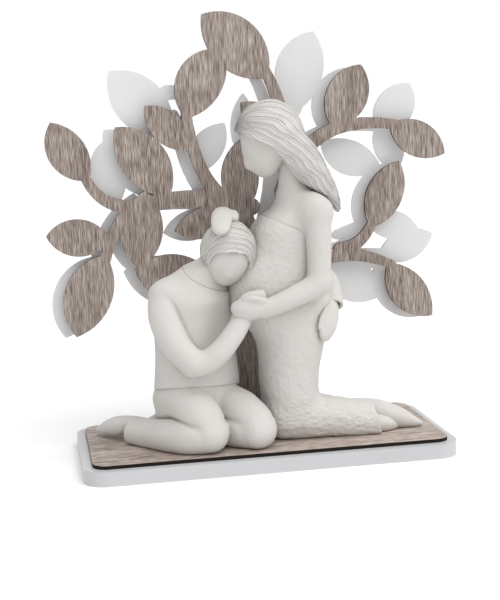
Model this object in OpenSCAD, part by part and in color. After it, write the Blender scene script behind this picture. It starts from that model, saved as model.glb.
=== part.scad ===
// Sculpture of an expecting couple kneeling before a tree of life.
// Two flat-cut tree panels stand in a two-layer base; the figures are modelled clay.
// Origin: centre of the underside of the base board. +X right, +Y to the rear, +Z up.

/* [Base] */
// Width of the white base board
board_w = 310; // [290:1:330]
// Depth of the white base board
board_d = 153; // [150:1:170]
// Thickness of the white base board
board_t = 12; // [10:0.5:16]
// Bare margin of the board around the wood plate
plate_margin = 7.5; // [4:0.5:9]
// Thickness of the wood-grain plate
plate_t = 3; // [2.5:0.5:4]
// Corner radius of the wood-grain plate
plate_corner_r = 12; // [8:1:18]

/* [Tree] */
// Thickness of the wood-grain front panel
front_t = 3; // [2.5:0.5:4]
// Thickness of the white back panel
back_t = 3; // [2.5:0.5:4]
// Distance of the front panel's face behind the base centre
front_y = 40; // [39:0.5:42]
// Clear gap between the two panels
panel_gap = 8; // [6:0.5:10]
// Width of the tabs that enter the base
tab_w = 34; // [26:1:38]
// Depth of the tabs below the wood plate's top face
tab_depth = 10; // [7:0.5:12]
// Diameter of the spacers between the panels
spacer_d = 9; // [6:0.5:10]

/* [Foot block] */
// Width of the block behind the trunk
block_w = 64; // [50:1:80]
// Depth of the block
block_d = 12; // [10:0.5:13]
// Height of the block
block_h = 22; // [16:1:30]
// Shank diameter of the two screws
screw_d = 4; // [3:0.5:5]
// Head diameter of the two screws
screw_head_d = 8; // [7:0.5:9]
// Length of the two screws
screw_l = 26; // [22:1:30]
// Distance between the two screws
screw_pitch = 40; // [30:1:46]

/* [Clay] */
// Facets around each modelled clay form
clay_fn = 20; // [16:2:26]
// Thickness of the clay pressed over the crown of each head as hair
hair_t = 4; // [3:0.5:5]

/* [Hidden] */
$fn = 96;

WOOD = [0.62, 0.56, 0.53];
WHITE = [0.95, 0.95, 0.94];
CLAY = [0.88, 0.86, 0.84];
STEEL = [0.65, 0.66, 0.68];

plate_w = board_w - 2 * plate_margin;
plate_d = board_d - 2 * plate_margin;
base_top = board_t + plate_t;
board_corner_r = plate_corner_r + plate_margin;
back_y = front_y + front_t + panel_gap;
block_y = back_y + back_t;
tab_bottom = base_top - tab_depth;
// Diameter of a branch's round end as a share of the branch's width
end_round = 0.9;

// Each leaf is [tip, base, bulge to the left of the line from tip to base, bulge to the right],
// as [x, z] points on the panel.
FRONT_LEAVES = [
    [[-31, 371], [24, 316], 24, 20],
    [[-13, 341], [-48, 284], 15, 25],
    [[-83, 296], [-47, 257], 14, 13],
    [[-109, 279], [-65, 218], 22, 18],
    [[-163, 285], [-133, 235], 14, 19],
    [[-86, 224], [-94, 157], 18, 19],
    [[-98, 156], [-25, 135], 22, 21],
    [[-172, 189], [-118, 184], 16, 16],
    [[-151, 101], [-122, 171], 23, 18],
    [[-62, 188], [-8, 201], 13, 14],
    [[-1, 265], [-2, 199], 15, 18],
    [[0, 296], [40, 262], 13, 14],
    [[107, 325], [80, 272], 19, 18],
    [[182, 245], [132, 272], 15, 16],
    [[140, 240], [113, 182], 16, 17],
    [[168, 100], [128, 150], 19, 14]
];

// Each branch is [start, bend, end, width at the start, width at the end].
TRUNK = [[0, base_top], [0, 90], [2, 150], 46, 34];
FRONT_BRANCHES = [
    [[2, 140], [2, 180], [-8, 208], 32, 22],
    [[6, 206], [-40, 222], [-92, 211], 17, 13],
    [[-84, 211], [-126, 206], [-138, 242], 13, 8],
    [[-16, 213], [-42, 232], [-48, 290], 13, 9],
    [[-94, 212], [-118, 192], [-122, 166], 13, 8],
    [[8, 140], [56, 200], [38, 280], 22, 12],
    [[36, 276], [34, 302], [20, 326], 12, 9],
    [[34, 216], [56, 287], [138, 272], 15, 9],
    [[14, 130], [70, 178], [132, 148], 18, 8],
    [[84, 164], [106, 166], [116, 190], 13, 8]
];

// How far the white panel's echo of the front panel is shifted.
ECHO_SHIFT = [-9, -2];
// Front leaves and branches that the white panel echoes, by their place in the lists above.
ECHO_LEAVES = [3, 5, 6, 8, 9, 12, 14, 15];
ECHO_BRANCHES = [0, 1, 3, 4, 6, 7, 8, 9];
BACK_LEAVES = [
    [[-111, 326], [-60, 268], 22, 21],
    [[-121, 266], [-111, 210], 15, 16],
    [[68, 355], [49, 286], 17, 25],
    [[153, 308], [122, 268], 20, 14],
    [[72, 259], [126, 236], 12, 19],
    [[140, 230], [128, 280], 14, 14],
    [[160, 177], [112, 188], 13, 13],
    [[173, 173], [122, 154], 14, 14],
    [[119, 117], [68, 162], 21, 20],
    [[-13, 279], [-46, 236], 14, 14],
    [[4, 304], [2, 246], 11, 11]
];
BACK_BRANCHES = [
    [[-1, 138], [35, 198], [27, 278], 24, 12],
    [[-72, 300], [-58, 282], [-57, 262], 15, 9],
    [[-64, 306], [-52, 309], [-38, 300], 13, 11],
    [[-38, 300], [-44, 290], [-55, 270], 11, 9],
    [[-112, 214], [-98, 208], [-84, 210], 10, 11],
    [[52, 292], [46, 278], [32, 262], 10, 9],
    [[4, 250], [2, 220], [-4, 200], 10, 14],
    [[84, 176], [104, 184], [120, 186], 9, 9],
    [[96, 160], [112, 158], [128, 158], 9, 8]
];
SPACER_PLACES = [[-2, 46], [-2, 118], [-94, 190], [-140, 138], [88, 300], [144, 124], [122, 212]];

function bow_radius(chord, bulge) = (chord * chord / 4 + bulge * bulge) / (2 * bulge);
function bezier(a, b, c, t) = (1 - t) * (1 - t) * a + 2 * t * (1 - t) * b + t * t * c;
function bezier_slope(a, b, c, t) = 2 * (1 - t) * (b - a) + 2 * t * (c - b);
function side_point(a, b, c, wa, wc, t, side) =
    let (d = bezier_slope(a, b, c, t), n = [-d[1], d[0]] / norm(d))
    bezier(a, b, c, t) + side * n * (wa + (wc - wa) * t) / 2;

// A pointed leaf between two points: the overlap of two discs.
module leaf(leaf_data, shift = [0, 0]) {
    tip = leaf_data[0] + shift;
    along = leaf_data[1] - leaf_data[0];
    chord = norm(along);
    left_r = bow_radius(chord, leaf_data[2]);
    right_r = bow_radius(chord, leaf_data[3]);
    translate(tip) rotate(atan2(along[1], along[0])) intersection() {
        translate([chord / 2, leaf_data[2] - left_r]) circle(left_r);
        translate([chord / 2, right_r - leaf_data[3]]) circle(right_r);
    }
}

// A curved, tapering branch, cut square at both ends.
module branch_outline(b) {
    steps = 10;
    polygon([
        for (i = [0:steps]) side_point(b[0], b[1], b[2], b[3], b[4], i / steps, 1),
        for (i = [steps:-1:0]) side_point(b[0], b[1], b[2], b[3], b[4], i / steps, -1)
    ]);
}

// The straight tongue that enters the base.
module tab_outline() {
    translate([-tab_w / 2, tab_bottom]) square([tab_w, tab_depth]);
}

// Stands an outline drawn in x and z upright, with its front face at y.
module upright(y, thickness) {
    translate([0, y + thickness, 0]) rotate([90, 0, 0]) linear_extrude(thickness) children();
}

// A branch of a panel, with round ends.
module branch(b, y, thickness, shift = [0, 0]) {
    translate([shift[0], 0, shift[1]]) {
        upright(y, thickness) branch_outline(b);
        for (end = [[b[0], b[3]], [b[2], b[4]]])
            upright(y, thickness) translate(end[0]) circle(d = end_round * end[1]);
    }
}

// The trunk, flat on the base, and its tab.
module trunk(y, thickness) {
    upright(y, thickness) branch_outline(TRUNK);
    upright(y, thickness) translate(TRUNK[2]) circle(d = end_round * TRUNK[4]);
    upright(y, thickness) tab_outline();
}

module rounded_slab(w, d, t, r) {
    linear_extrude(t) union() {
        square([w - 2 * r, d], center = true);
        square([w, d - 2 * r], center = true);
        for (sx = [-1, 1], sy = [-1, 1]) translate([sx * (w / 2 - r), sy * (d / 2 - r)]) circle(r);
    }
}

// The two slots that the panels' tabs stand in.
module tab_slots() {
    for (slot = [[front_y, front_t], [back_y, back_t]])
        translate([-tab_w / 2, slot[0], tab_bottom]) cube([tab_w, slot[1], tab_depth + 1]);
}

module at_screws() {
    for (side = [-1, 1]) translate([side * screw_pitch / 2, block_y + block_d / 2, 0]) children();
}

// One countersunk screw, head down, flush with the board's underside.
module screw() {
    cylinder(d1 = screw_head_d, d2 = screw_d, h = (screw_head_d - screw_d) / 2);
    cylinder(d = screw_d, h = screw_l);
}

module base_board() {
    color(WHITE) difference() {
        rounded_slab(board_w, board_d, board_t, board_corner_r);
        tab_slots();
        at_screws() screw();
    }
}

module base_wood_plate() {
    color(WOOD) difference() {
        translate([0, 0, board_t]) rounded_slab(plate_w, plate_d, plate_t, plate_corner_r);
        tab_slots();
        at_screws() screw();
    }
}

module tree_front_panel() {
    color(WOOD) {
        trunk(front_y, front_t);
        for (b = FRONT_BRANCHES) branch(b, front_y, front_t);
        for (l = FRONT_LEAVES) upright(front_y, front_t) leaf(l);
    }
}

module tree_back_panel() {
    color(WHITE) {
        trunk(back_y, back_t);
        for (i = ECHO_BRANCHES) branch(FRONT_BRANCHES[i], back_y, back_t, ECHO_SHIFT);
        for (b = BACK_BRANCHES) branch(b, back_y, back_t);
        for (i = ECHO_LEAVES) upright(back_y, back_t) leaf(FRONT_LEAVES[i], ECHO_SHIFT);
        for (l = BACK_LEAVES) upright(back_y, back_t) leaf(l);
    }
}

module panel_spacers() {
    color(WHITE) for (place = SPACER_PLACES)
        translate([place[0], front_y + front_t, place[1]])
            rotate([-90, 0, 0]) cylinder(d = spacer_d, h = panel_gap, $fn = 48);
}

module trunk_foot_block() {
    color(WHITE) difference() {
        translate([-block_w / 2, block_y, base_top]) cube([block_w, block_d, block_h]);
        at_screws() screw();
    }
}

module foot_block_screws() {
    color(STEEL) at_screws() screw();
}

// A ball of clay, given as [x, y, z, radius].
module ball(b) {
    translate([b[0], b[1], b[2]]) sphere(b[3], $fn = clay_fn);
}

// One smooth form around a list of balls.
module form(balls) {
    hull() for (b = balls) ball(b);
}

// A bent form: each ball is joined to the next.
module chain(balls) {
    for (i = [0:len(balls) - 2]) form([balls[i], balls[i + 1]]);
}

// Clay pressed flat where it stands on the base.
module seated() {
    color(CLAY) difference() {
        union() children();
        translate([-board_w / 2, -board_d / 2, base_top - 30]) cube([board_w, board_d, 30]);
    }
}

MOTHER_HEAD = [[17, -10, 262, 23], [5, -10, 243, 8]];
PARTNER_HEAD = [[-26, -20, 176, 22], [-34, -37, 157, 9]];

module mother_dress() {
    seated() {
        form([[21, -25, 33, 19], [21, 4, 33, 19], [88, -28, 27, 13], [88, -2, 27, 13]]);
        form([[21, -25, 36, 20], [21, 4, 36, 20], [36, -22, 102, 26], [36, 2, 102, 26]]);
        form([[20, -10, 116, 27], [40, -22, 106, 25], [40, 2, 106, 25], [33, -10, 158, 23]]);
        dress_chest();
    }
}

module dress_chest() {
    form([[33, -10, 154, 23], [20, -24, 183, 14], [20, 4, 183, 14], [42, -18, 184, 12],
          [42, -2, 184, 12]]);
}

module mother_bust() {
    color(CLAY) difference() {
        union() {
            form([[44, -30, 204, 10], [44, 12, 204, 10], [18, -22, 194, 10], [18, 2, 194, 10],
                  [34, -10, 212, 10]]);
            form([[37, -10, 210, 10], [24, -10, 240, 8]]);
        }
        dress_chest();
        form(MOTHER_HEAD);
    }
}

module mother_head() {
    color(CLAY) form(MOTHER_HEAD);
}

module mother_hair() {
    color(CLAY) difference() {
        union() {
            form([[18, -10, 268, 23 + hair_t], [26, -10, 262, 22 + hair_t]]);
            form([[32, -10, 262, 22], [50, -10, 244, 13]]);
            form([[50, -10, 244, 14], [64, -10, 218, 10], [66, -12, 208, 5], [62, -30, 220, 5]]);
        }
        form(MOTHER_HEAD);
        form([[-14, -10, 244, 22], [12, -10, 236, 20]]);
    }
}

module mother_left_arm() {
    color(CLAY) chain([[47, -40, 204, 12], [46, -44, 150, 10], [-8, -49, 130, 7]]);
}

module mother_left_hand() {
    color(CLAY) form([[-12, -48, 131, 7], [-24, -44, 129, 5], [-14, -45, 138, 5]]);
}

module mother_right_arm() {
    color(CLAY) chain([[46, 19, 203, 11], [18, 27, 170, 9], [-22, 10, 187, 6.5]]);
}

module mother_right_hand() {
    color(CLAY) difference() {
        form([[-24, 4, 198, 6.5], [-28, -12, 205, 7], [-31, -28, 203, 7.5], [-34, -41, 195, 6]]);
        partner_hair();
        partner_head();
    }
}

module mother_left_foot() {
    seated() form([[100, -27, 24, 9], [120, -24, 20, 6], [135, -21, 18, 3.5]]);
}

module mother_right_foot() {
    seated() form([[92, -4, 32, 8], [118, -10, 27, 6.5], [139, -15, 19, 3]]);
}

module partner_shirt() {
    color(CLAY) form([[-73, -12, 78, 20], [-46, 8, 78, 18], [-76, -22, 138, 16], [-32, 18, 138, 14],
                      [-52, -8, 150, 13], [-40, -22, 120, 14]]);
}

module partner_hips() {
    color(CLAY) difference() {
        form([[-73, -10, 48, 22], [-48, 8, 48, 20]]);
        partner_shirt();
    }
}

module partner_neck() {
    color(CLAY) difference() {
        form([[-50, -8, 156, 11], [-38, -18, 168, 10]]);
        partner_shirt();
        form(PARTNER_HEAD);
    }
}

module partner_head() {
    color(CLAY) form(PARTNER_HEAD);
}

module partner_hair() {
    color(CLAY) difference() {
        form([[-26, -17, 180, 22 + hair_t - 1], [-28, -8, 174, 20]]);
        form(PARTNER_HEAD);
        form([[-40, -50, 158, 18], [-14, -50, 158, 18]]);
    }
}

module partner_right_arm() {
    color(CLAY) chain([[-80, -26, 136, 13], [-60, -46, 85, 10], [-27, -47, 114, 7.5]]);
}

module partner_right_hand() {
    color(CLAY) form([[-23, -43, 119, 7], [-11, -39, 126, 5.5]]);
}

module partner_left_arm() {
    color(CLAY) chain([[-32, 24, 138, 11], [12, 30, 132, 8.5], [66, 17, 138, 8], [71, 5, 128, 8]]);
}

module partner_left_hand() {
    color(CLAY) form([[69, 0, 121, 8], [60, -22, 104, 7]]);
}

module partner_right_leg() {
    seated() {
        form([[-76, -12, 52, 19], [-53, -43, 36, 17]]);
        form([[-54, -45, 30, 16], [-108, 0, 26, 12]]);
    }
}

module partner_left_leg() {
    seated() {
        form([[-48, 4, 52, 18], [-12, -39, 37, 17]]);
        form([[-13, -40, 30, 16], [-66, 8, 26, 12]]);
    }
}

module partner_right_foot() {
    seated() form([[-112, 5, 25, 9], [-125, 17, 22, 7], [-137, 28, 18, 3]]);
}

module partner_left_foot() {
    seated() form([[-72, 12, 25, 9], [-85, 22, 22, 7], [-96, 31, 18, 3]]);
}

base_board();
base_wood_plate();
tree_front_panel();
tree_back_panel();
panel_spacers();
trunk_foot_block();
foot_block_screws();
mother_dress();
mother_bust();
mother_head();
mother_hair();
mother_left_arm();
mother_left_hand();
mother_right_arm();
mother_right_hand();
mother_left_foot();
mother_right_foot();
partner_shirt();
partner_hips();
partner_neck();
partner_head();
partner_hair();
partner_right_arm();
partner_right_hand();
partner_left_arm();
partner_left_hand();
partner_right_leg();
partner_left_leg();
partner_right_foot();
partner_left_foot();
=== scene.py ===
# Couple kneeling before a tree of life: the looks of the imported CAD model.
# Lengths are millimetres in the sculpting code and metres in Blender.
import math

import bmesh
import bpy
import numpy as np
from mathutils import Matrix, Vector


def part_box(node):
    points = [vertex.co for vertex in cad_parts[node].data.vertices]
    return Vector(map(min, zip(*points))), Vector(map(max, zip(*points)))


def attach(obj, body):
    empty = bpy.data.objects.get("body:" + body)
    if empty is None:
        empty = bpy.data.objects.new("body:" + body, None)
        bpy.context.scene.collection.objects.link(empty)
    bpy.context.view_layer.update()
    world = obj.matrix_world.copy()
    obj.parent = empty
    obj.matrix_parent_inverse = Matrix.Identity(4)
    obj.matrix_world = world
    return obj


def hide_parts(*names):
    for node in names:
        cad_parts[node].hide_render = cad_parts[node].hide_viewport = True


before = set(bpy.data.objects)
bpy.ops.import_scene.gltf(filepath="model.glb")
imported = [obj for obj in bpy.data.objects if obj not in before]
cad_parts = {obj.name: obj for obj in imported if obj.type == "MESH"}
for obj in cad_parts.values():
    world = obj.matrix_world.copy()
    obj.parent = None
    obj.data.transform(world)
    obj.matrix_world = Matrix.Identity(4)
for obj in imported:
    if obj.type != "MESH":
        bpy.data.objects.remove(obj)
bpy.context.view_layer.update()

import openvdb
from mathutils import Euler, Matrix

MM = 0.001

# ---------------------------------------------------------------- camera
# Metres, degrees, and the focal length in millimetres.

CAMERA_AT = (-0.1856, -1.0553, 0.2898)
CAMERA_YAW, CAMERA_PITCH, CAMERA_ROLL = 9.70, 8.48, -2.11
CAMERA_LENS = 76.65


def make_camera():
    data = bpy.data.cameras.new("camera")
    data.lens = CAMERA_LENS
    data.sensor_width = 36
    data.clip_start = 0.01
    data.clip_end = 50
    camera = bpy.data.objects.new("camera", data)
    bpy.context.scene.collection.objects.link(camera)
    aim = Euler((math.radians(90 - CAMERA_PITCH), 0, math.radians(-CAMERA_YAW))).to_matrix()
    turn = aim @ Matrix.Rotation(math.radians(CAMERA_ROLL), 3, "Z")
    camera.matrix_world = Matrix.Translation(CAMERA_AT) @ turn.to_4x4()
    bpy.context.scene.camera = camera


# ---------------------------------------------------------------- materials

class Nodes:
    """Short calls for building one material's node tree."""

    def __init__(self, name):
        self.material = bpy.data.materials.new(name)
        self.material.use_nodes = True
        self.tree = self.material.node_tree
        self.tree.nodes.clear()
        self.shader = self.new("ShaderNodeBsdfPrincipled")
        out = self.new("ShaderNodeOutputMaterial")
        self.link(self.shader.outputs[0], out.inputs[0])
        self.coord = self.new("ShaderNodeTexCoord").outputs["Object"]

    def new(self, kind, **settings):
        node = self.tree.nodes.new(kind)
        for key, value in settings.items():
            setattr(node, key, value)
        return node

    def link(self, a, b):
        self.tree.links.new(a, b)

    def put(self, socket, value):
        if isinstance(value, bpy.types.NodeSocket):
            self.link(value, socket)
        elif isinstance(value, tuple):
            socket.default_value = (*value, 1)
        else:
            socket.default_value = value

    def stretch(self, scale, rotate=(0, 0, 0)):
        node = self.new("ShaderNodeMapping")
        self.link(self.coord, node.inputs["Vector"])
        node.inputs["Scale"].default_value = scale
        node.inputs["Rotation"].default_value = rotate
        return node.outputs[0]

    def noise(self, vector, scale, detail=3.0, rough=0.5, distortion=0.0):
        node = self.new("ShaderNodeTexNoise")
        self.link(vector, node.inputs["Vector"])
        node.inputs["Scale"].default_value = scale
        node.inputs["Detail"].default_value = detail
        node.inputs["Roughness"].default_value = rough
        node.inputs["Distortion"].default_value = distortion
        return node.outputs[0]

    def ramp(self, value, stops):
        node = self.new("ShaderNodeValToRGB")
        self.link(value, node.inputs[0])
        band = node.color_ramp
        while len(band.elements) < len(stops):
            band.elements.new(0.5)
        for element, (place, colour) in zip(band.elements, stops):
            element.position = place
            element.color = (*colour, 1)
        return node.outputs[0]

    def levels(self, value, low, high, to_low=0.0, to_high=1.0):
        node = self.new("ShaderNodeMapRange")
        for socket, number in zip(node.inputs[:5], (value, low, high, to_low, to_high)):
            self.put(socket, number)
        return node.outputs[0]

    def math(self, kind, a, b=0.0):
        node = self.new("ShaderNodeMath", operation=kind)
        self.put(node.inputs[0], a)
        self.put(node.inputs[1], b)
        return node.outputs[0]

    def mix(self, amount, a, b, kind="MIX"):
        node = self.new("ShaderNodeMix", data_type="RGBA", blend_type=kind)
        self.put(node.inputs[0], amount)
        self.put(node.inputs[6], a)
        self.put(node.inputs[7], b)
        return node.outputs[2]

    def bump(self, height, strength, distance, under=None):
        node = self.new("ShaderNodeBump")
        node.inputs["Strength"].default_value = strength
        node.inputs["Distance"].default_value = distance
        self.link(height, node.inputs["Height"])
        if under is not None:
            self.link(under, node.inputs["Normal"])
        return node.outputs[0]

    def facing(self, axis):
        """1 on faces that look along the axis, 0 on faces that run along it."""
        normal = self.new("ShaderNodeNewGeometry").outputs["True Normal"]
        split = self.new("ShaderNodeSeparateXYZ")
        self.link(normal, split.inputs[0])
        return self.math("ABSOLUTE", split.outputs[axis])

    def finish(self, colour, rough, normal=None, **fixed):
        self.put(self.shader.inputs["Base Color"], colour)
        self.put(self.shader.inputs["Roughness"], rough)
        if normal is not None:
            self.link(normal, self.shader.inputs["Normal"])
        for key, value in fixed.items():
            self.shader.inputs[key.replace("_", " ")].default_value = value
        return self.material


WOOD_DARK = (0.120, 0.086, 0.071)
WOOD_MID = (0.330, 0.272, 0.236)
WOOD_LIGHT = (0.640, 0.565, 0.510)
WOOD_TINT = (0.36, 0.28, 0.245)
BURNT = (0.008, 0.006, 0.005)
CHARRED = (0.022, 0.015, 0.011)
CLAY = (0.580, 0.564, 0.545)
CLAY_DULL = (0.558, 0.535, 0.508)
# Colour of the painted shade in the clay's hollows and creases.
CLAY_PAINTED_SHADE = (0.45, 0.39, 0.335)
CLAY_SPECK = (0.49, 0.455, 0.42)
# Hair colours: painted shade in the grooves between strands, painted light on the ridges.
HAIR_GROOVE_PAINTED_SHADE = (0.47, 0.43, 0.39)
HAIR_RIDGE_PAINTED_LIGHT = (0.650, 0.635, 0.613)
LACQUER = (0.515, 0.520, 0.532)
MATTE_WHITE = (0.685, 0.685, 0.688)
STEEL = (0.60, 0.60, 0.62)
WOOD_GLOSS = 0.18
LACQUER_GLOSS = 0.4
CLAY_GLOSS = 0.28


def wood_material(name, along, face_axis, gain):
    """Wood-grain laminate with the grain along one axis; its cut edges are burnt dark."""
    n = Nodes(name)
    # gain scales all the wood's colours; on the plate it also carries painted light.
    dark, mid, light = (tuple(gain * c for c in w) for w in (WOOD_DARK, WOOD_MID, WOOD_LIGHT))
    squeeze = [1.0, 1.0, 1.0]
    squeeze[along] = 0.05
    fine = n.noise(n.stretch(squeeze), 1750, 2, 0.5, 0.1)
    streak = n.noise(n.stretch(squeeze), 420, 3, 0.55, 0.3)
    squeeze[along] = 0.2
    cloud = n.noise(n.stretch(squeeze), 40, 3, 0.5, 0.4)
    grain = n.math("ADD", n.math("MULTIPLY", fine, 0.62), n.math("MULTIPLY", streak, 0.22))
    grain = n.math("ADD", grain, n.math("MULTIPLY", cloud, 0.16))
    face = n.ramp(grain, [(0.38, dark), (0.49, mid), (0.61, light)])
    tint = n.levels(n.noise(n.coord, 9, 2), 0.3, 0.7)
    face = n.mix(tint, face, n.mix(0.15, face, WOOD_TINT))
    soot = n.levels(n.noise(n.coord, 900, 2), 0.2, 0.8)
    edge = n.mix(soot, BURNT, CHARRED)
    flat = n.levels(n.facing(face_axis), 0.45, 0.75)
    pores = n.levels(fine, 0.30, 0.50)
    height = n.math("MULTIPLY", n.math("ADD", pores, n.math("MULTIPLY", streak, 0.5)), flat)
    rough = n.levels(flat, 0, 1, 0.85, 0.52)
    return n.finish(n.mix(flat, edge, face), rough, n.bump(height, 0.35, 0.00025),
                    Specular_IOR_Level=WOOD_GLOSS)


def white_material(name, white, rough, grit):
    """White paint with a faint orange peel and a barely uneven tone."""
    n = Nodes(name)
    tone = n.levels(n.noise(n.coord, 14, 3), 0.3, 0.7)
    dust = n.levels(n.noise(n.coord, 420, 2), 0.25, 0.75)
    colour = n.mix(tone, white, tuple(0.97 * c for c in white))
    peel = n.noise(n.coord, 700, 2, 0.4)
    spread = n.levels(dust, 0, 1, rough - 0.05, rough + 0.07)
    return n.finish(colour, spread, n.bump(peel, grit, 0.00008),
                    Specular_IOR_Level=LACQUER_GLOSS)


def clay_material(name, grit, deep):
    """Unglazed white clay, matte and finely grained; deep is how strongly painted shade darkens
    its hollows.
    """
    n = Nodes(name)
    drift = n.levels(n.noise(n.coord, 26, 4, 0.55), 0.3, 0.7)
    speck = n.levels(n.noise(n.coord, 1500, 2), 0.28, 0.5)
    colour = n.mix(drift, CLAY, CLAY_DULL)
    # Painted shade: ambient occlusion darkens and warms the clay in its hollows and creases,
    # where shade falls.
    hollow = n.new("ShaderNodeAmbientOcclusion", samples=6, only_local=False)
    hollow.inputs["Distance"].default_value = 0.006
    depth = n.levels(hollow.outputs["AO"], 0.25, 0.9)
    colour = n.mix(depth, n.mix(deep, colour, CLAY_PAINTED_SHADE), colour)
    colour = n.mix(speck, n.mix(0.10, colour, CLAY_SPECK), colour)
    grain = n.noise(n.coord, 1300, 3, 0.6)
    smear = n.noise(n.stretch((1, 1, 0.45)), 190, 3, 0.5, 0.4)
    normal = n.bump(smear, grit, 0.0007)
    normal = n.bump(grain, 0.25, 0.00012, normal)
    rough = n.levels(drift, 0, 1, 0.70, 0.84)
    return n.finish(colour, rough, normal, Specular_IOR_Level=CLAY_GLOSS)


def combed_material(name):
    """Clay hair: the same clay, scored with fine lines that follow the strands; painted shade
    darkens the grooves and painted light brightens the ridges.
    """
    n = Nodes(name)
    flow = n.new("ShaderNodeAttribute", attribute_name="comb").outputs["Vector"]
    phase = n.new("ShaderNodeSeparateXYZ")
    n.link(flow, phase.inputs[0])
    locks, hairs = (n.math("ABSOLUTE", n.math("SINE", n.math("MULTIPLY", phase.outputs[k], 0.5)))
                    for k in (0, 1))
    locks, hairs = n.math("POWER", locks, 0.45), n.math("POWER", hairs, 0.6)
    # Painted shade and light: the clay turns darker down in the grooves and lighter up on the
    # ridges.
    painted_light_mask = n.math("MULTIPLY", n.levels(locks, 0.15, 0.6), n.levels(hairs, 0.1, 0.7, 0.6, 1.0))
    colour = n.mix(painted_light_mask, HAIR_GROOVE_PAINTED_SHADE, HAIR_RIDGE_PAINTED_LIGHT)
    normal = n.bump(hairs, 0.8, 0.0005, n.bump(locks, 0.8, 0.0009))
    normal = n.bump(n.noise(n.coord, 1300, 3, 0.6), 0.25, 0.00012, normal)
    return n.finish(colour, 0.78, normal, Specular_IOR_Level=CLAY_GLOSS)


def steel_material(name):
    """Bare steel, brushed crosswise."""
    n = Nodes(name)
    brushed = n.noise(n.stretch((1, 1, 30)), 300, 3)
    rough = n.levels(brushed, 0.2, 0.8, 0.25, 0.45)
    return n.finish(STEEL, rough, n.bump(brushed, 0.2, 0.00005), Metallic=1.0)


MATERIALS = {
    "tree_wood": wood_material("tree_wood", 2, 1, 0.78),
    # plate_wood uses the tree's wood colours made about 1.3 times brighter: painted light for the
    # plate's top, which faces up into the light.
    "plate_wood": wood_material("plate_wood", 0, 2, 1.02),
    "white_lacquer": white_material("white_lacquer", LACQUER, 0.34, 0.25),
    "white_matte": white_material("white_matte", MATTE_WHITE, 0.55, 0.4),
    # The last number sets how much painted shade darkens each clay's hollows.
    "smooth_clay": clay_material("smooth_clay", 0.30, 0.35),
    "stippled_clay": clay_material("stippled_clay", 0.45, 0.55),
    "combed_clay": combed_material("combed_clay"),
    "steel": steel_material("steel"),
}

# ---------------------------------------------------------------- clay, as distance fields

def v(*xyz):
    return np.array(xyz, dtype=np.float64)


def unit(a):
    return a / np.linalg.norm(a)


def square_to(axis, a):
    """The direction of a, turned to stand square to the axis."""
    return unit(a - np.dot(a, axis) * axis)


def fade(value, none, full):
    """Rises evenly from 0 where value is none to 1 where it is full."""
    return np.clip((value - none) / (full - none), 0, 1)


SPLINE_STEPS = 6


def spline(rows):
    """Rows of numbers along a smooth curve through the given rows."""
    p = np.array(rows, dtype=float)
    p = np.vstack([2 * p[0] - p[1], p, 2 * p[-1] - p[-2]])
    out = []
    for i in range(1, len(p) - 2):
        for t in np.arange(SPLINE_STEPS) / SPLINE_STEPS:
            out.append(0.5 * (2 * p[i] + (p[i + 1] - p[i - 1]) * t
                              + (2 * p[i - 1] - 5 * p[i] + 4 * p[i + 1] - p[i + 2]) * t ** 2
                              + (3 * p[i] - p[i - 1] - 3 * p[i + 1] + p[i + 2]) * t ** 3))
    out.append(p[-2])
    return np.array(out)


# FAR stands for nowhere near a form; LEAST keeps a division clear of zero.
FAR = 60.0
LIMB_REACH = 16
LEAST = 1e-6


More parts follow.
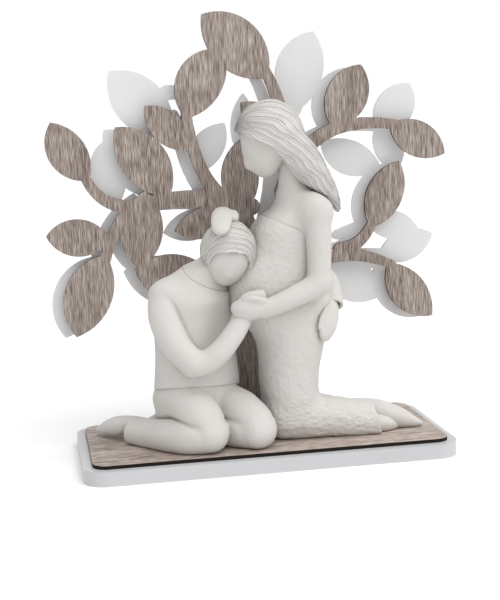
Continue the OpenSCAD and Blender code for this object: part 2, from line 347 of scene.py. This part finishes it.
class Space:
    """A block of space, sampled on a grid, in which clay forms are measured.

    A form is an array of distances to its surface: negative inside it, positive outside.
    """

    def __init__(self, low, high, step):
        self.low = np.array(low, dtype=float)
        self.step = step
        counts = np.ceil((np.array(high) - self.low) / step).astype(int) + 1
        lines = [(self.low[i] + step * np.arange(counts[i])).astype(np.float32)
                 for i in range(3)]
        self.x, self.y, self.z = np.meshgrid(*lines, indexing="ij")

    def window(self, low, high):
        """Index ranges of the cells between two corners."""
        cells = []
        for i in range(3):
            first = int(np.floor((low[i] - self.low[i]) / self.step))
            last = int(np.ceil((high[i] - self.low[i]) / self.step)) + 1
            cells.append(slice(max(first, 0), max(last, 0)))
        return tuple(cells)

    def plane(self, point, outward):
        """Distance past a plane, positive on the side that the outward direction points to."""
        n = unit(np.array(outward, float))
        return ((self.x - point[0]) * n[0] + (self.y - point[1]) * n[1]
                + (self.z - point[2]) * n[2])

    def ellipsoid(self, centre, radii, axes=None):
        """An egg shape; its radii run along the three axes, or along x, y and z."""
        px, py, pz = self.x - centre[0], self.y - centre[1], self.z - centre[2]
        if axes is not None:
            px, py, pz = [a[0] * px + a[1] * py + a[2] * pz for a in axes]
        rx, ry, rz = radii
        k0 = np.sqrt((px / rx) ** 2 + (py / ry) ** 2 + (pz / rz) ** 2)
        k1 = np.sqrt((px / rx ** 2) ** 2 + (py / ry ** 2) ** 2 + (pz / rz ** 2) ** 2)
        return k0 * (k0 - 1) / np.maximum(k1, LEAST)

    def limb(self, rows, flat=None):
        """A round limb through rows [x, y, z, radius]; flat is (direction, how thin along it)."""
        out = np.full(self.x.shape, FAR, dtype=np.float32)
        axis, thin = (unit(np.array(flat[0], float)), flat[1]) if flat else (v(0, 0, 1), 1.0)
        push = 1 / thin - 1
        path = spline(rows)
        for a, b in zip(path[:-1], path[1:]):
            reach = max(a[3], b[3]) + LIMB_REACH
            w = self.window(np.minimum(a[:3], b[:3]) - reach, np.maximum(a[:3], b[:3]) + reach)
            px, py, pz = self.x[w] - a[0], self.y[w] - a[1], self.z[w] - a[2]
            if not px.size:
                continue
            line = b[:3] - a[:3]
            if flat:
                lift = push * (px * axis[0] + py * axis[1] + pz * axis[2])
                px, py, pz = px + lift * axis[0], py + lift * axis[1], pz + lift * axis[2]
                line = line + push * np.dot(line, axis) * axis
            t = (px * line[0] + py * line[1] + pz * line[2]) / max(np.dot(line, line), LEAST)
            t = np.clip(t, 0, 1)
            gap = np.sqrt((px - t * line[0]) ** 2 + (py - t * line[1]) ** 2
                          + (pz - t * line[2]) ** 2) - (a[3] + (b[3] - a[3]) * t)
            out[w] = np.minimum(out[w], gap * thin ** 0.5)
        return out

    def stack(self, rows, broad=(1, 0), power=2.0):
        """A trunk of oval sections: rows [z, x, y, half width along broad, half depth]."""
        path = spline(rows)
        path = path[np.argsort(path[:, 0])]
        level = self.z
        cx, cy, a, b = [np.interp(level, path[:, 0], path[:, i]) for i in (1, 2, 3, 4)]
        ux, uy = unit(np.array(broad, float))
        p = np.abs((self.x - cx) * ux + (self.y - cy) * uy) / a
        q = np.abs((self.x - cx) * uy - (self.y - cy) * ux) / b
        ring = (p ** power + q ** power) ** (1 / power)
        side = (ring - 1) * np.minimum(a, b)
        ends = np.maximum(level - path[-1, 0], path[0, 0] - level)
        return np.maximum(side, ends)


def join(a, b, blend=0.0):
    """Union of two forms, with a fillet of about that size in millimetres."""
    k = np.maximum(blend, 1e-3)
    h = np.clip(0.5 + 0.5 * (b - a) / k, 0, 1)
    return b * (1 - h) + a * h - k * h * (1 - h)


def carve(a, b, blend=0.0):
    """Form a with form b cut out of it, and the new edge rounded."""
    return -join(-a, b, blend)


# OVERLAP is how far a form goes on inside its neighbour; DIVE is how steeply it dips there.
OVERLAP = 7
DIVE = 0.22


def share(whole, own, others):
    """The part of a joined form that belongs to one limb; it dives under its neighbour."""
    over = (own - others) * 0.5
    return np.maximum(whole + DIVE * np.maximum(over, 0), over - OVERLAP)


def crease(d, a, b, deep, wide=1.3):
    """Presses a narrow fold into a joined form, where two of its forms meet."""
    return d + deep * np.exp(-((a - b) / wide) ** 2)


def soften(d, rounds):
    """Rounds of blurring, which smooths creases where forms meet."""
    for _ in range(rounds):
        for axis in range(3):
            d = (np.roll(d, 1, axis) + 2 * d + np.roll(d, -1, axis)) / 4
    return d


LATTICE_SIDE = 48
LATTICE = np.random.default_rng(7).random((LATTICE_SIDE, LATTICE_SIDE, LATTICE_SIDE))


def value_noise(points, size):
    """Smooth noise from 0 to 1 at each point; size is the width of a bump in millimetres."""
    p = points / size
    cell = np.floor(p).astype(int)
    f = p - cell
    f = f * f * (3 - 2 * f)
    total = 0
    for corner in range(8):
        o = np.array([corner & 1, corner >> 1 & 1, corner >> 2])
        weight = np.prod(np.where(o == 1, f, 1 - f), axis=1)
        i, j, k = ((cell + o) % LATTICE_SIDE).T
        total = total + weight * LATTICE[i, j, k]
    return total


def handmade(points):
    """The slight unevenness that fingers leave on clay."""
    return 0.5 * (value_noise(points, 9.0) - 0.5) + 0.16 * (value_noise(points + 31, 3.2) - 0.5)


def sculpt(node, space, d, material="smooth_clay", relief=handmade, rounds=1):
    """Turns a form into the piece of clay that stands for a CAD node.

    The relief gives each point's height above the form and, where the clay is combed, also
    the comb's phases, which the mesh carries to its material.
    """
    grid = openvdb.FloatGrid(FAR)
    grid.copyFromArray(np.ascontiguousarray(soften(d, rounds), dtype=np.float32))
    points, triangles, quads = grid.convertToPolygons(isovalue=0.0, adaptivity=0.0)
    points = points * space.step + space.low
    outward = [tuple(f[::-1]) for f in triangles.tolist() + quads.tolist()]
    mesh = bpy.data.meshes.new(node + "_clay")
    mesh.from_pydata(points.tolist(), [], outward)
    mesh.update()
    normals = np.empty(len(points) * 3)
    mesh.vertex_normals.foreach_get("vector", normals)
    normals = normals.reshape(-1, 3)
    height = relief(points)
    if isinstance(height, tuple):
        height, comb = height
        flow = mesh.attributes.new("comb", "FLOAT_VECTOR", "POINT")
        flow.data.foreach_set("vector", comb.astype(np.float32).ravel())
    points = points + normals * height[:, None]
    points[:, 2] = np.maximum(points[:, 2], PLATE_TOP)
    mesh.vertices.foreach_set("co", (points * MM).astype(np.float32).ravel())
    mesh.polygons.foreach_set("use_smooth", [True] * len(mesh.polygons))
    mesh.update()
    keep_largest(mesh)
    piece = bpy.data.objects.new(node + "_clay", mesh)
    bpy.context.scene.collection.objects.link(piece)
    mesh.materials.append(MATERIALS[material])
    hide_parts(node)
    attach(piece, "root")


def keep_largest(mesh):
    """Drops stray crumbs, so that each piece of clay is one lump."""
    edges = np.empty(len(mesh.edges) * 2, dtype=np.int32)
    mesh.edges.foreach_get("vertices", edges)
    a, b = edges.reshape(-1, 2).T
    label = np.arange(len(mesh.vertices))
    while True:
        low = np.minimum(label[a], label[b])
        new = label.copy()
        np.minimum.at(new, a, low)
        np.minimum.at(new, b, low)
        new = new[new]
        if np.array_equal(new, label):
            break
        label = new
    names, counts = np.unique(label, return_counts=True)
    if len(names) < 2:
        return
    stray = np.flatnonzero(label != names[np.argmax(counts)])
    work = bmesh.new()
    work.from_mesh(mesh)
    work.verts.ensure_lookup_table()
    bmesh.ops.delete(work, geom=[work.verts[i] for i in stray], context="VERTS")
    work.to_mesh(mesh)
    work.free()


def step(fine):
    return fine


# Clay is cut off just above the plate, and never goes below its top.
PLATE_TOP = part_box("base_wood_plate")[1].z / MM
GROUND = PLATE_TOP + 0.1
CROSS = v(0, 1, 0)

# ---------------------------------------------------------------- the mother

M_HEAD = v(14, -10, 268)
M_FACE = unit(v(-0.86, 0, -0.51))
M_UP = unit(v(-0.51, 0, 0.86))
M_JAW = v(7, -10, 248)
M_CALF = [[18, -23, 31, 18], [48, -24, 29.5, 17.5], [84, -25.5, 25, 16], [108, -26, 23, 14.5]]
M_CALF_FAR = [[18, 4, 30, 16], [48, 4, 28, 15.5], [84, 5, 23.5, 12], [106, 5, 21.5, 10.5]]
M_HEM = (v(96.5, -10, 18), v(0.98, 0, 0.20))
M_HEM_TOP = 62
M_NECKLINE = (v(22, -10, 195), v(0.40, 0, 0.92))
M_NECK_TOP = 246
M_WAIST = 150
M_ARMPIT, M_SHOULDER = 184, 202
HEM_WALL = 4.2
OPENING_DEPTH = 5


def mother_forms(s):
    """The mother's big forms below the head, each measured in the space s."""
    skirt = s.stack([[30, 23, -10, 22, 30], [45, 24, -10, 23, 33], [62, 24, -10, 23.4, 33],
                     [78, 24.8, -10, 24.8, 33], [92, 26, -10, 27, 33], [102, 25.5, -10, 30.5, 33],
                     [112, 23, -10, 35.5, 33], [124, 19, -10, 41, 33], [137, 17.5, -10, 42.5, 32],
                     [150, 17.5, -10, 41.5, 31], [162, 19.5, -10, 38, 30],
                     [173, 23, -10, 34, 29], [184, 27, -10, 30.5, 28.5],
                     [194, 30, -10, 28.5, 28.5], [202, 33, -10, 25, 28], [210, 36, -10, 19, 24],
                     [216, 37, -10, 14, 16]], power=2.25)
    breast = np.minimum(s.ellipsoid((13, -23, 185), (12.5, 12, 13)),
                        s.ellipsoid((13, 3, 185), (12.5, 12, 13)))
    skirt = join(skirt, breast, 12)
    calf = join(s.limb(M_CALF), s.limb(M_CALF_FAR), 14)
    neck = s.limb([[31, -10, 252, 10.5], [32, -10, 238, 11], [33, -10, 224, 12.5],
                   [34, -10, 210, 15]])
    collar = s.limb([[47, -37, 205, 10.5], [41, -22, 210, 11], [38, -10, 212, 12],
                     [38, 4, 211, 11], [44, 17, 205, 10.5]])
    near = s.limb([[46, -34, 205, 12.5], [46.5, -40, 190, 11], [46, -43, 170, 10],
                   [45, -45, 151, 9.8]])
    fore = s.limb([[45, -46, 146.5, 10], [24, -49, 138.5, 8.8], [2, -50, 130.5, 7.8],
                   [-12, -49, 129, 7.2]])
    arm = join(near, fore, 4)
    far_arm = s.limb([[46, 19, 203, 11.5], [34, 26, 188, 10.5], [18, 27, 173, 9.5],
                      [0, 22, 177, 8], [-22, 8, 192, 6.6]])
    return skirt, calf, neck, collar, arm, far_arm


def mother_body():
    """Dress, bust and arms, cut from one flowing form."""
    s = Space((-42, -64, 10), (108, 42, 262), step(0.75))
    skirt, calf, neck, collar, arm, far_arm = mother_forms(s)
    torso = join(join(skirt, collar, 10), neck, 9)
    fillet = 1.2 + 9 * fade(s.z, M_ARMPIT, M_SHOULDER)
    whole = join(join(torso, arm, fillet), far_arm, fillet)
    both = np.minimum(arm, far_arm)
    sculpt("mother_left_arm", s, share(whole, arm, torso))
    sculpt("mother_right_arm", s, share(whole, far_arm, torso))
    line = s.plane(*M_NECKLINE)
    bust = share(whole, torso, both)
    bust = np.maximum(bust, -(line + OVERLAP))
    groove = np.abs(line + 0.3) + np.abs(whole) - 0.9
    bust = carve(bust, groove, 0.6)
    bust = np.maximum(bust, s.z - M_NECK_TOP)
    sculpt("mother_bust", s, bust, rounds=0)
    dress = join(skirt, calf, 7) - 0.7
    upper = np.maximum(torso - 0.7, M_WAIST - s.z)
    dress = np.minimum(dress, upper)
    dress = carve(dress, -line, 1.2)
    past_hem = s.plane(*M_HEM)
    hem = np.minimum(past_hem, M_HEM_TOP - s.z)
    dress = carve(dress, -hem, 1.5)
    hollow = join(*(s.limb([[x, y, z, r - HEM_WALL] for x, y, z, r in calf])
                    for calf in (M_CALF, M_CALF_FAR)), 14)
    hollow = np.maximum(hollow, -OPENING_DEPTH - past_hem)
    hollow = np.maximum(hollow, GROUND + 3 - s.z)
    dress = carve(dress, hollow, 0.8)
    dress = carve(dress, s.z - GROUND, 2.0)
    sculpt("mother_dress", s, dress, "stippled_clay", stipple)


def stipple(points):
    """Dabbed clay: small pits all over, drawn out into strokes low on the dress."""
    low = fade(points[:, 2], 70, 45)[:, None]
    p = points * (1 + low * (v(0.6, 1.0, 1.2) - 1))
    pits = 0.5 * value_noise(p, 2.8) + 0.5 * value_noise(p + 40, 1.6)
    broad = value_noise(points + 13, 12.0) - 0.5
    depth = 1.1 + 0.4 * low[:, 0]
    return depth * (pits - 0.5) + 0.5 * broad


def mother_head():
    """A smooth egg of a head, with a jaw and a hint of a nose."""
    s = Space((-24, -42, 226), (50, 22, 300), step(0.9))
    axes = (M_FACE, CROSS, M_UP)
    d = s.ellipsoid(M_HEAD - 1.0 * M_UP, (24.3, 20.5, 24.5), axes)
    d = join(d, s.ellipsoid(M_JAW, (11.6, 13.2, 15.6), axes), 10)
    nose = M_JAW + 11.5 * M_FACE + 4.5 * M_UP
    d = join(d, s.limb([[*nose, 1.2], [*(nose - 3 * M_UP + 0.5 * M_FACE), 1.5]]), 6)
    sculpt("mother_head", s, d)


def comb_angle(points, spine, around):
    """Angle round a bent spine, and the distance along it, at each point."""
    best = np.full(len(points), 1e9)
    angle, along = np.zeros(len(points)), np.zeros(len(points))
    length = 0.0
    for a, b in zip(spine[:-1], spine[1:]):
        line = b - a
        size = np.linalg.norm(line)
        t = np.clip(((points - a) @ line) / size ** 2, 0, 1)
        off = points - a - t[:, None] * line
        gap = np.linalg.norm(off, axis=1)
        d = unit(line)
        e1 = square_to(d, around)
        here = gap < best
        best = np.where(here, gap, best)
        angle = np.where(here, np.arctan2(off @ np.cross(d, e1), off @ e1), angle)
        along = np.where(here, length + t * size, along)
        length += size
    return angle, along


def strands(phase):
    """Rounded strands with narrow grooves between them, from -1 to 0."""
    return np.abs(np.sin(phase / 2)) ** 0.55 - 1


# Strands in a full turn round the head: broad locks, and fine hairs on them.
M_LOCKS, M_HAIRS = 31, 83
M_HAIRLINE = [[-40, 288], [-18, 276], [-8, 269.5], [1, 264], [8, 260], [14, 256], [21, 250],
              [26, 243], [31, 235], [37, 229], [47, 223], [57, 217], [64, 208], [72, 192]]


def mother_hair():
    """Long hair over the back of the head, combed lengthwise and cut off along the face."""
    s = Space((-20, -46, 190), (80, 28, 304), step(0.5))
    axes = (M_FACE, CROSS, M_UP)
    d = s.ellipsoid(M_HEAD + 1.0 * M_UP - 0.5 * M_FACE, (28.5, 25, 28), axes)
    fall = s.limb([[24, -10, 262, 25], [35, -11, 253, 24.5], [43, -13, 241, 22],
                   [51, -16, 229, 18.5], [58, -20, 218, 13.5], [63, -23, 209, 7.5]],
                  flat=((0.69, 0, 0.72), 0.66))
    d = join(d, fall, 6)
    edge = np.array(M_HAIRLINE)
    above = s.z - np.interp(s.x, edge[:, 0], edge[:, 1])
    d = carve(d, above * 0.82, 2.2)
    spine = [v(-16, -10, 278), v(8, -10, 268), v(28, -10, 254), v(46, -12, 237), v(70, -20, 204)]

    def comb(points):
        angle, along = comb_angle(points, spine, -CROSS)
        sway = value_noise(points * v(0.35, 1, 1), 8.0) - 0.5
        phases = angle * M_LOCKS + 6.5 * sway, angle * M_HAIRS + 12 * sway + along * 0.06
        lump = value_noise(points * v(0.5, 1, 1) + 5, 7.0) - 0.5
        height = 1.7 * strands(phases[0]) + 0.8 * strands(phases[1]) + 0.9 * lump + 1.0
        return height, np.stack([*phases, along], axis=1)

    sculpt("mother_hair", s, d, "combed_clay", comb, rounds=0)


def mother_hands():
    """Mitten hands, each with a thumb; a groove parts the fingers of the near one."""
    s = Space((-38, -62, 108), (10, -32, 152), step(0.75))
    d = s.limb([[0, -50, 131.5, 7], [-10, -50.5, 130, 8.3], [-18, -49.5, 130, 8.8],
                [-23, -47.5, 131, 6.4]], flat=((0.1, 1, 0), 0.78))
    thumb = s.limb([[-4, -54, 137, 2.6], [-12, -55, 139.5, 2.6], [-18, -53, 139, 2.2]])
    d = join(d, thumb, 2.5)
    groove = s.limb([[-9, -58, 125.5, 0.5], [-20, -56, 127, 0.5], [-27, -52, 128.5, 0.5]])
    d = carve(d, groove, 1.2)
    sculpt("mother_left_hand", s, d)
    t = Space((-48, -56, 178), (-10, 16, 220), step(0.75))
    d = t.limb([[-22, 8, 191, 6.5], [-25, -4, 201, 7.4], [-28.5, -18, 205, 8.6],
                [-31, -31, 203.5, 8.8], [-33, -38, 200, 8.3], [-34, -42.5, 196.5, 7.2]],
               flat=((-0.12, -0.62, 0.78), 0.52))
    thumb = t.limb([[-24, -10, 204, 4.4], [-20.5, -22, 205, 4.2], [-20.5, -29, 202.5, 3.4]])
    d = join(d, thumb, 1.2)
    sculpt("mother_right_hand", t, d)


def foot(node, s, rows):
    """A bare foot through the rows, flat where it rests on the plate."""
    sculpt(node, s, carve(s.limb(rows), s.z - GROUND, 1.0))


def mother_feet():
    s = Space((78, -46, 12), (150, 8, 50), step(0.8))
    foot("mother_left_foot", s,
         [[84, -28, 23, 8], [95, -28, 22, 8], [104, -27, 20, 6.6], [111, -24, 18.5, 4.6],
          [117, -20, 17, 2.4]])
    foot("mother_right_foot", s,
         [[80, -8, 31, 9], [91, -11, 30, 10], [102, -15, 27.5, 11], [114, -19, 24, 9.8],
          [126, -21, 20, 6.2], [135.5, -21.5, 17.4, 2.8]])


# ---------------------------------------------------------------- the partner

P_HEAD = v(-26, -24, 174)
P_FACE = unit(v(-0.09, -0.86, -0.50))
P_UP = square_to(P_FACE, v(0.16, -0.47, 0.87))
P_SIDE = np.cross(P_UP, P_FACE)
P_AXES = (P_FACE, P_SIDE, P_UP)
P_BROAD = (0.72, 0.69)
P_WAIST = (v(-58, -33, 65.4), v(0.01, 0.2, 1))
P_COLLAR = (v(-46, -20, 151), v(0.46, -0.25, 0.85))
P_NECK_TOP = 178
P_LOCKS, P_HAIRS = 40, 104
P_ARMPIT, P_SHOULDER = 136, 148
P_SLEEVE_END = (v(62, -14, 123.5), v(-0.2, -0.55, -0.80))


def partner_upper():
    """Shirt, neck and arms, cut from one flowing form."""
    s = Space((-108, -66, 56), (88, 52, 188), step(1.0))
    torso = s.stack([[58, -54.5, -7, 39.5, 29], [70, -54, -7, 39.5, 28], [85, -54, -7, 39, 26],
                     [105, -55, -7.5, 37.5, 25], [122, -54, -8, 36.5, 25],
                     [136, -53, -10, 35, 25.5],
                     [146, -52, -10, 31, 22], [154, -50, -11, 24, 17.5],
                     [162, -46, -13, 15, 13]], broad=P_BROAD, power=2.3)
    yoke = s.limb([[-77, -25, 140.5, 12], [-64, -14, 147, 11.5], [-50, -3, 149, 11.5],
                   [-32, 17, 141, 11.5]])
    torso = join(torso, yoke, 9)
    neck = s.limb([[-29, -20, 172, 12.5], [-38, -17, 162, 13.5], [-46, -13, 153, 15]])
    near = s.limb([[-80, -24, 139.5, 13], [-82, -34, 124, 12.8], [-75, -43.5, 104, 12],
                   [-62.5, -49, 89, 10.6]])
    fore = s.limb([[-61, -49, 88, 10.4], [-50, -51, 90, 9.8], [-37, -51, 100, 9.2],
                   [-26, -48, 113, 8.6], [-20, -46, 121, 7.6]])
    arm = join(near, fore, 4)
    far_arm = s.limb([[-32, 20, 139, 11.5], [-12, 29, 134, 10], [12, 30, 132, 9.5],
                      [42, 26, 139, 9.5], [57.5, 15, 147, 9.2], [64, 5, 140.5, 9.6],
                      [63.5, -9, 128, 10.4], [61, -20, 118, 10.6]])
    fillet = 1.0 + 9 * fade(s.z, P_ARMPIT, P_SHOULDER)
    body = join(torso, neck, 9)
    whole = join(join(body, arm, fillet), far_arm, fillet)
    whole = crease(whole, torso, arm, 1.2 * fade(s.z, P_SHOULDER, P_ARMPIT))
    both = np.minimum(arm, far_arm)
    sculpt("partner_right_arm", s, share(whole, arm, torso))
    sleeve = share(whole, far_arm, torso)
    sleeve = carve(sleeve, -s.plane(*P_SLEEVE_END), 0.8)
    bore = s.limb([[63.5, -3, 136, 6.5], [61, -18, 120, 8.2]])
    sleeve = carve(sleeve, bore, 0.8)
    sculpt("partner_left_arm", s, sleeve, rounds=0)
    collar = s.plane(*P_COLLAR)
    shirt = share(whole, torso, both)
    shirt = carve(shirt - 0.5, -collar, 1.6)
    hem = s.plane(*P_WAIST)
    shirt = carve(shirt - 0.3, hem, 1.4)
    sculpt("partner_shirt", s, shirt, rounds=0)
    neck_only = carve(body, collar + 0.3, 1.4)
    neck_only = np.maximum(np.maximum(neck_only, s.z - P_NECK_TOP), neck - 12)
    sculpt("partner_neck", s, neck_only, rounds=0)


def partner_lower():
    """Hips and both folded legs, cut from one flowing form."""
    s = Space((-128, -74, 10), (18, 34, 84), step(0.95))
    hips = s.stack([[22, -58, 2, 33, 25], [36, -57, -2, 36.5, 27], [50, -56, -5, 38, 28.3],
                    [62, -54.5, -7, 38.5, 28.3], [76, -54, -7, 38.5, 27.5]],
                   broad=P_BROAD, power=2.3)
    thigh = s.limb([[-73, -13, 57, 18.5], [-66, -31, 54, 18.5], [-57.5, -45, 44, 17.3],
                    [-52, -50, 33, 16.6]])
    calf = s.limb([[-52, -51, 30.5, 16.8], [-66, -46, 28, 16.4], [-80, -34, 26, 15.2],
                   [-94, -17, 24.5, 13.6], [-112, 4, 23.5, 12.2]])
    near = join(thigh, calf, 1.0)
    far_thigh = s.limb([[-46, 2, 51, 18.5], [-27, -22, 44.5, 18.2], [-16, -39, 37, 17.3],
                        [-12, -47, 30.5, 16.8]])
    far_calf = s.limb([[-12, -48, 29.5, 16.8], [-30, -32, 27, 15], [-52, -8, 27, 14],
                       [-72, 14, 26, 13]])
    far = join(far_thigh, far_calf, 1.0)
    whole = join(join(hips, thigh, 6), far_thigh, 6)
    whole = join(whole, np.minimum(calf, far_calf), 1.0)
    fold = 1.9 * fade(s.x, -58, -66)
    whole = crease(whole, np.minimum(hips, thigh), calf, fold)
    fold = 1.0 * fade(s.x, -16, -22) * fade(s.x, -44, -38)
    whole = crease(whole, far_thigh, far_calf, fold)
    waist = s.plane(*P_WAIST)
    tuck = 1.1 * fade(waist, -OVERLAP, 0)
    for name, own, others, cuff, core in (
            ("partner_right_leg", near, np.minimum(hips, far),
             (v(-108, 1, 36), v(-0.62, 0.78, 0.02)),
             [[-94, -17, 24.5, 9.6], [-118, 10, 23.5, 8.6]]),
            ("partner_left_leg", far, np.minimum(hips, near),
             (v(-66, 9, 28), v(-0.72, 0.69, 0.2)),
             [[-52, -8, 27, 10], [-80, 22, 26, 9]])):
        past_cuff = s.plane(*cuff)
        leg = share(whole, own, others) + tuck
        leg = carve(leg, 0.8 - waist, 1.0)
        leg = carve(leg, -past_cuff, 0.9)
        hollow = np.maximum(s.limb(core), -OPENING_DEPTH - past_cuff)
        hollow = np.maximum(hollow, GROUND + 2.5 - s.z)
        leg = carve(carve(leg, hollow, 0.8), s.z - GROUND, 1.6)
        sculpt(name, s, leg, rounds=0)
    seat = share(whole, hips, np.minimum(near, far)) + tuck
    seat = carve(seat, 0.8 - waist, 1.0)
    seat = carve(seat, s.z - GROUND, 1.6)
    sculpt("partner_hips", s, seat, rounds=0)


def partner_head():
    """A smooth egg of a head, leaning on the belly, with a jaw and a hint of a nose."""
    s = Space((-58, -60, 136), (8, 10, 206), step(0.9))
    d = s.ellipsoid(P_HEAD + 0.5 * P_UP, (21.5, 19.5, 21.5), P_AXES)
    jaw = P_HEAD + 8.5 * P_FACE - 10 * P_UP - 1.2 * P_SIDE
    d = join(d, s.ellipsoid(jaw, (13.5, 13, 14.5), P_AXES), 8)
    nose = P_HEAD + 21.2 * P_FACE - 4 * P_UP
    d = join(d, s.limb([[*(nose + 3 * P_UP), 1.0], [*(nose - 2 * P_UP + 0.8 * P_FACE), 1.8]]), 5)
    sculpt("partner_head", s, d)


def partner_hair():
    """Short hair, combed round the head and cut away from the face and the nape."""
    s = Space((-58, -56, 144), (8, 12, 212), step(0.5))
    d = s.ellipsoid(P_HEAD + 1.0 * P_UP - 1.0 * P_FACE, (25, 22.8, 25.5), P_AXES)
    face = P_HEAD + 22 * P_FACE - 1.5 * P_UP + 1.2 * P_SIDE
    d = carve(d, s.ellipsoid(face, (17, 18.2, 16.5), P_AXES), 1.6)
    d = carve(d, s.ellipsoid(P_HEAD + 14 * P_FACE - 17 * P_UP, (24, 19.5, 17), P_AXES), 1.6)
    d = carve(d, s.plane(P_HEAD - 6.5 * P_UP, P_UP - 0.12 * P_FACE), 2.0)

    def comb(points):
        p = points - (P_HEAD - 1 * P_UP + 2 * P_FACE)
        angle = np.arccos(np.clip(p @ P_FACE / np.linalg.norm(p, axis=1), -1, 1))
        sway = value_noise(points, 11.0) - 0.5
        phases = angle * P_LOCKS + 5.5 * sway, angle * P_HAIRS + 11 * sway
        lump = value_noise(points + 9, 6.0) - 0.5
        height = 1.7 * strands(phases[0]) + 0.7 * strands(phases[1]) + 0.8 * lump + 0.9
        return height, np.stack([*phases, angle], axis=1)

    sculpt("partner_hair", s, d, "combed_clay", comb, rounds=0)


def partner_hands():
    """One hand flat on the belly, the other on the mother's back with its thumb beside it."""
    s = Space((-34, -56, 106), (8, -28, 154), step(0.75))
    d = s.limb([[-24, -46, 114, 7.6], [-19, -45, 125, 9], [-13, -44, 133, 10.2],
                [-4, -43, 136, 9]], flat=((0.1, 1, 0), 0.6))
    d = carve(d, -s.plane((0.5, -42, 140), (0.97, 0, 0.1)), 1.5)
    sculpt("partner_right_hand", s, d)
    t = Space((38, -50, 80), (88, 16, 144), step(0.75))
    flat = ((0.68, -0.73, 0.05), 0.52)
    d = t.limb([[63, -4, 138, 6.2], [62, -14, 127, 7], [59, -25, 118.5, 9.2],
                [54.5, -33, 111, 10], [51, -37, 105, 7.8]], flat=flat)
    thumb = t.limb([[55, -31, 124, 3.6], [49, -38, 117.5, 3.8], [46, -41, 110.5, 3.4]],
                   flat=flat)
    d = join(d, thumb, 0.5)
    sculpt("partner_left_hand", t, d)


def partner_feet():
    s = Space((-146, -12, 12), (-96, 42, 46), step(0.75))
    foot("partner_right_foot", s,
         [[-102, -2, 29, 7.5], [-111, 6, 29.5, 7], [-119, 13, 27, 8.4], [-128, 22, 24, 6.8],
          [-137, 31, 20.5, 2.6]])
    t = Space((-108, 0, 12), (-58, 48, 46), step(0.9))
    foot("partner_left_foot", t,
         [[-62, 7, 29, 7.5], [-72, 15, 28, 7.5], [-82, 22, 26, 8], [-91, 28, 22, 6.2],
          [-98, 33, 17.6, 2.4]])


# ---------------------------------------------------------------- carried-over CAD nodes

def finish_node(name, material, width=0.0, segments=1):
    """Gives a CAD node its material and, where a width is given, rounds its edges."""
    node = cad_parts[name]
    node.data.materials.clear()
    node.data.materials.append(MATERIALS[material])
    if width > 0:
        bevel = node.modifiers.new("bevel", "BEVEL")
        bevel.width = width
        bevel.segments = segments
        bevel.limit_method = "ANGLE"
        bevel.angle_limit = math.radians(40)
        bevel.use_clamp_overlap = True


def carried_over():
    finish_node("base_board", "white_lacquer", 0.0016, 4)
    finish_node("base_wood_plate", "plate_wood")
    finish_node("tree_front_panel", "tree_wood")
    finish_node("tree_back_panel", "white_matte")
    finish_node("panel_spacers", "white_matte")
    finish_node("trunk_foot_block", "white_matte", 0.0005, 2)
    finish_node("foot_block_screws", "steel")


# ---------------------------------------------------------------- studio

FLOOR_REACH = 400
FLOOR_WHITE = (0.97, 0.97, 0.97)
FLOOR_GREY = (0.95, 0.95, 0.95)


def floor():
    """A white floor that runs on past the horizon."""
    mesh = bpy.data.meshes.new("floor")
    far = FLOOR_REACH
    corners = [(-far, -far, 0), (far, -far, 0), (far, far, 0), (-far, far, 0)]
    mesh.from_pydata(corners, [], [(0, 1, 2, 3)])
    plane = bpy.data.objects.new("floor", mesh)
    bpy.context.scene.collection.objects.link(plane)
    n = Nodes("floor_paint")
    tone = n.levels(n.noise(n.coord, 3, 2), 0.3, 0.7)
    n.finish(n.mix(tone, FLOOR_WHITE, FLOOR_GREY), 0.7, Specular_IOR_Level=0.1)
    mesh.materials.append(n.material)


SKY_TOP = 0.30
SKY_FADES_FROM, SKY_FADES_TO = 0.22, 0.62
SUN_STRENGTH = 2.75
SUN_WIDTH = 70
SUN_LEAN = (20, 16, 0)


def studio():
    """A white sky that dims overhead, and one very wide soft light above."""
    world = bpy.data.worlds.new("world")
    bpy.context.scene.world = world
    world.use_nodes = True
    tree = world.node_tree
    where = tree.nodes.new("ShaderNodeTexCoord").outputs["Generated"]
    split = tree.nodes.new("ShaderNodeSeparateXYZ")
    tree.links.new(where, split.inputs[0])
    dimming = tree.nodes.new("ShaderNodeMapRange")
    dimming.interpolation_type = "SMOOTHSTEP"
    levels = (SKY_FADES_FROM, SKY_FADES_TO, 1.0, SKY_TOP)
    for socket, value in zip(dimming.inputs[1:5], levels):
        socket.default_value = value
    tree.links.new(split.outputs[2], dimming.inputs[0])
    tree.links.new(dimming.outputs[0], tree.nodes["Background"].inputs[1])
    tree.nodes["Background"].inputs[0].default_value = (1, 1, 1, 1)
    sun = bpy.data.lights.new("softbox", "SUN")
    sun.energy = SUN_STRENGTH
    sun.angle = math.radians(SUN_WIDTH)
    lamp = bpy.data.objects.new("softbox", sun)
    bpy.context.scene.collection.objects.link(lamp)
    lamp.rotation_euler = Euler([math.radians(lean) for lean in SUN_LEAN])
    bpy.context.scene.view_settings.view_transform = "Standard"


make_camera()
floor()
studio()
carried_over()
mother_head()
mother_body()
mother_hair()
mother_hands()
mother_feet()
partner_head()
partner_upper()
partner_lower()
partner_hair()
partner_hands()
partner_feet()
